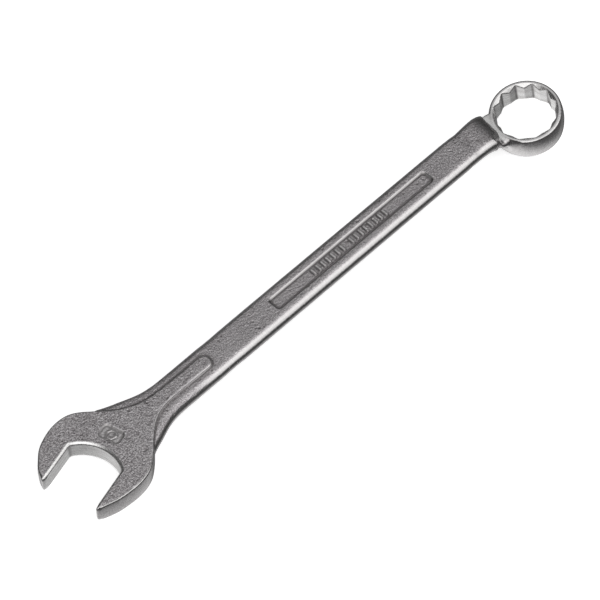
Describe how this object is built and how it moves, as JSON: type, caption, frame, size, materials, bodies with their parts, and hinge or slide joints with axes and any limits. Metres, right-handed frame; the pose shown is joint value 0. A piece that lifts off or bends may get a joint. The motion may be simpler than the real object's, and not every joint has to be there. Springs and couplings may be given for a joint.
{
  "type": "combination wrench",
  "caption": "Long flat-shanked hand wrench with an angled open jaw at one end and a cranked, tilted twelve-point ring at the other, for turning hexagon nuts and bolts.",
  "frame": {"origin": "centre of a 28 mm nut seated in the open jaw, half-way through the head's thickness", "axes": "+X along the shank from the open jaw to the ring; +Z square to the open head's flat face, away from the side the ring is cranked to; +Y completes a right-handed frame, across the shank"},
  "size_m": [0.3425, 0.0528, 0.033],
  "materials": {
    "forged_steel": "satin chrome plate over a fine-pitted drop forging, brighter where ground"
  },
  "bodies": {
    "root": {"open_end_head": "forged_steel", "shank": "forged_steel", "ring_head": "forged_steel"}
  },
  "joints": []
}
